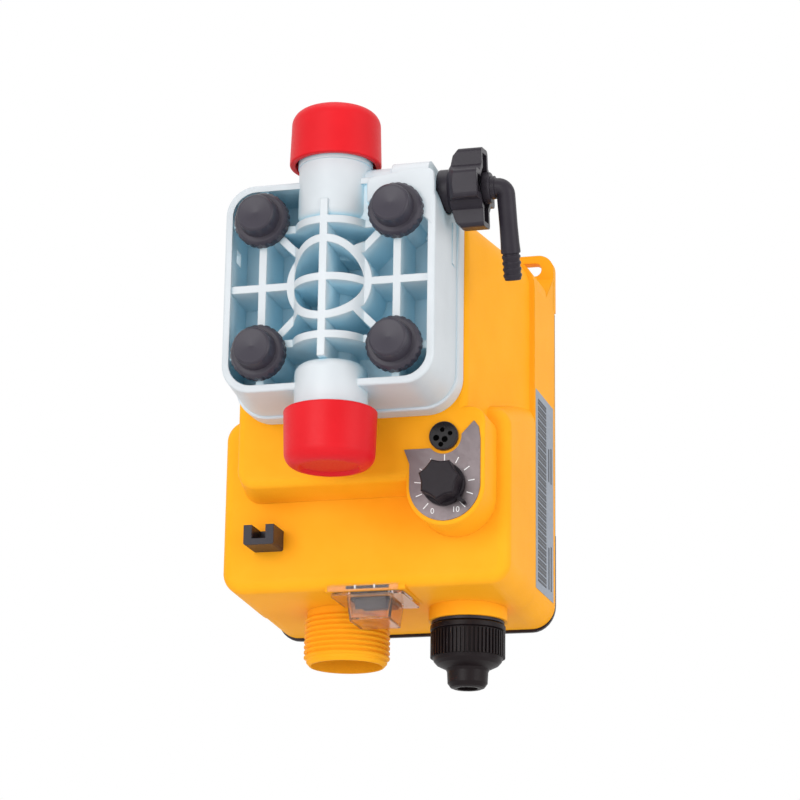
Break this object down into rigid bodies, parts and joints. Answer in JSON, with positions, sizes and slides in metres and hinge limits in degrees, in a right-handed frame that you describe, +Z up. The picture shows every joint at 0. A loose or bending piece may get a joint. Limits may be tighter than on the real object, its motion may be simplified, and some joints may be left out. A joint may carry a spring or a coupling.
{
  "type": "diaphragm metering pump",
  "caption": "Wall-mounted solenoid diaphragm metering pump with ribbed head, bleed valve, dose knob, clear switch cover and capped valve necks.",
  "frame": {"origin": "point of the wall face on the axis of the pump head", "axes": "+X to the right seen from the front, +Y towards the wall, +Z up along the valve necks"},
  "size_m": [0.1117, 0.1296, 0.1822],
  "materials": {
    "orange_plastic": "satin",
    "white_plastic": "satin",
    "black_plastic": "satin",
    "grey_plastic": "satin",
    "red_plastic": "satin",
    "clear_plastic": "gloss",
    "black_rubber": "matte",
    "ceramic": "gloss",
    "steel": "satin",
    "brass": "satin",
    "silver_panel": "satin",
    "circuit_green": "satin",
    "copper_winding": "satin"
  },
  "bodies": {
    "pump": {"board_screws": "steel", "cable_clip": "black_plastic", "capacitor": "black_plastic", "circuit_board": "circuit_green", "control_board": "circuit_green", "control_panel": "silver_panel", "diaphragm": "black_rubber", "discharge_cage": "grey_plastic", "discharge_o_ring": "black_rubber", "discharge_seat": "grey_plastic", "dose_potentiometer": "steel", "gland_body": "black_plastic", "gland_locknut": "black_plastic", "gland_seal": "black_rubber", "guide_bush": "brass", "head_backplate": "white_plastic", "head_screws": "steel", "housing": "orange_plastic", "pole_core": "steel", "pot_nut": "steel", "pump_head": "white_plastic", "rear_cover": "black_plastic", "rear_cover_screws": "steel", "rear_gasket": "black_rubber", "return_spring": "steel", "screw_cap_bottom_left": "black_plastic", "screw_cap_bottom_right": "black_plastic", "screw_cap_top_left": "black_plastic", "screw_cap_top_right": "black_plastic", "signal_socket": "black_plastic", "socket_nut": "steel", "solenoid_coil": "copper_winding", "solenoid_yoke": "steel", "stop_bumper": "black_rubber", "suction_cage": "grey_plastic", "suction_o_ring": "black_rubber", "suction_seat": "grey_plastic", "switch_cover": "clear_plastic", "switch_frame": "black_plastic", "terminal_block": "circuit_green", "yoke_screws": "steel"},
    "plunger": {"armature": "steel", "push_rod": "steel", "diaphragm_support": "black_plastic"},
    "dose_control": {"dose_knob": "black_plastic", "pot_shaft": "steel"},
    "bleed_valve": {"bleed_knob": "black_plastic", "bleed_needle": "white_plastic", "bleed_o_ring": "black_rubber"},
    "bleed_outlet": {"bleed_elbow": "black_plastic"},
    "discharge_cap": {"discharge_cap": "red_plastic"},
    "suction_cap": {"suction_cap": "red_plastic"},
    "switch_rocker": {"rocker": "black_plastic"},
    "gland_nut": {"gland_nut": "black_plastic"},
    "suction_ball": {"suction_ball": "ceramic"},
    "discharge_ball": {"discharge_ball": "ceramic"}
  },
  "joints": [
    {"name": "stroke", "type": "slide", "parent": "pump", "child": "plunger", "axis": [0, -1, 0], "range_m": [0, 0.00125], "stiffness_N_per_m": 1500, "springref_m": -0.002, "deforming": ["return_spring", "diaphragm"]},
    {"name": "dose_turn", "type": "hinge", "parent": "pump", "child": "dose_control", "pos_m": [0.0326, -0.095, -0.0628], "axis": [0, -1, 0], "range_deg": [0, 276]},
    {"name": "bleed_turn", "type": "hinge", "parent": "pump", "child": "bleed_valve", "pos_m": [0.04, -0.108, 0.0332], "axis": [1, 0, 0], "range_deg": [0, 360]},
    {"name": "elbow_swivel", "type": "hinge", "parent": "bleed_valve", "child": "bleed_outlet", "pos_m": [0.055, -0.108, 0.0332], "axis": [1, 0, 0], "continuous": true},
    {"name": "discharge_cap_off", "type": "slide", "parent": "pump", "child": "discharge_cap", "axis": [0, 0, 1], "range_m": [0, 0.018]},
    {"name": "suction_cap_off", "type": "slide", "parent": "pump", "child": "suction_cap", "axis": [0, 0, -1], "range_m": [0, 0.018]},
    {"name": "rocker_tip", "type": "hinge", "parent": "pump", "child": "switch_rocker", "pos_m": [0.0004, -0.0566, -0.0896], "axis": [1, 0, 0], "range_deg": [-18, 0]},
    {"name": "gland_turn", "type": "hinge", "parent": "pump", "child": "gland_nut", "pos_m": [0.0276, -0.035, -0.105], "axis": [0, 0, -1], "range_deg": [0, 360]},
    {"name": "suction_ball_lift", "type": "slide", "parent": "pump", "child": "suction_ball", "axis": [0, 0, 1], "range_m": [0, 0.0015]},
    {"name": "discharge_ball_lift", "type": "slide", "parent": "pump", "child": "discharge_ball", "axis": [0, 0, 1], "range_m": [0, 0.0015]}
  ]
}
